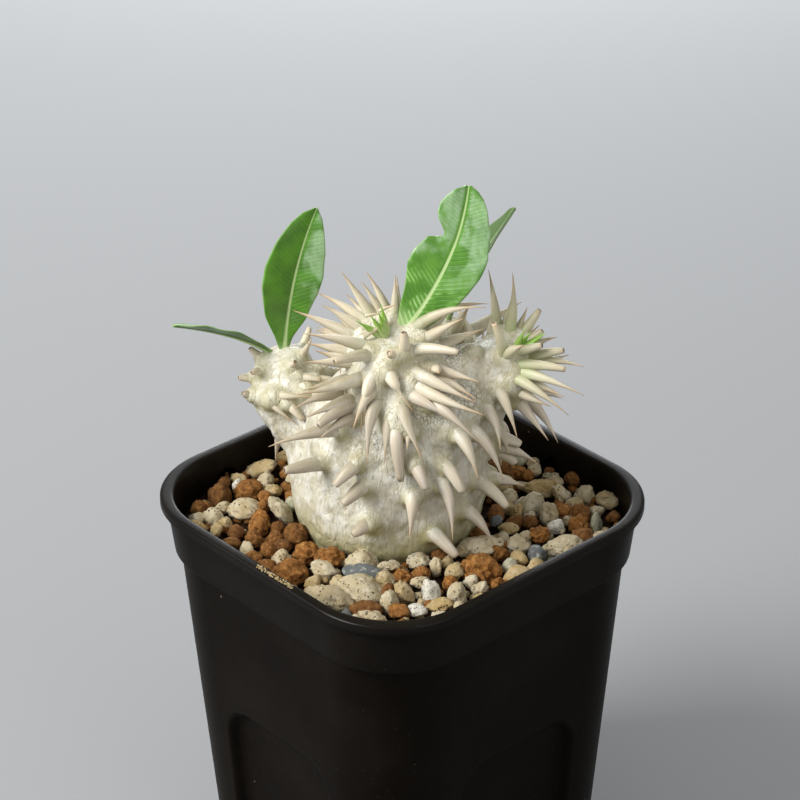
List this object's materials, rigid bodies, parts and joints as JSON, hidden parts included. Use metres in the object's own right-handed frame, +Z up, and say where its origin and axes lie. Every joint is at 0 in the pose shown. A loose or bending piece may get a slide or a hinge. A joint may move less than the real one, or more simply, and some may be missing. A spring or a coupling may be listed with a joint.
{
  "type": "potted pachypodium",
  "caption": "Small spiny white-barked caudex plant with green leaves, rooted in gritty gravel in a square black nursery pot.",
  "frame": {"origin": "centre of the pot's underside", "axes": "+Z up, X and Y square to the pot's sides"},
  "size_m": [0.09, 0.09, 0.1726],
  "materials": {
    "pot": "satin black moulded plastic, lightly dusty",
    "gritty_soil": "pumice, fired clay grains and small stones",
    "caudex": "silvery cream papery bark with pale horns",
    "leaf": "glossy green leaf with pale veins",
    "bud": "young green leaf tips"
  },
  "bodies": {
    "root": {"pot": "pot", "gritty_soil": "gritty_soil", "caudex": "caudex", "leaf_notched": "leaf", "leaf_left": "leaf", "leaf_side": "leaf", "leaf_rear": "leaf", "bud_centre": "bud", "bud_right": "bud"}
  },
  "joints": []
}
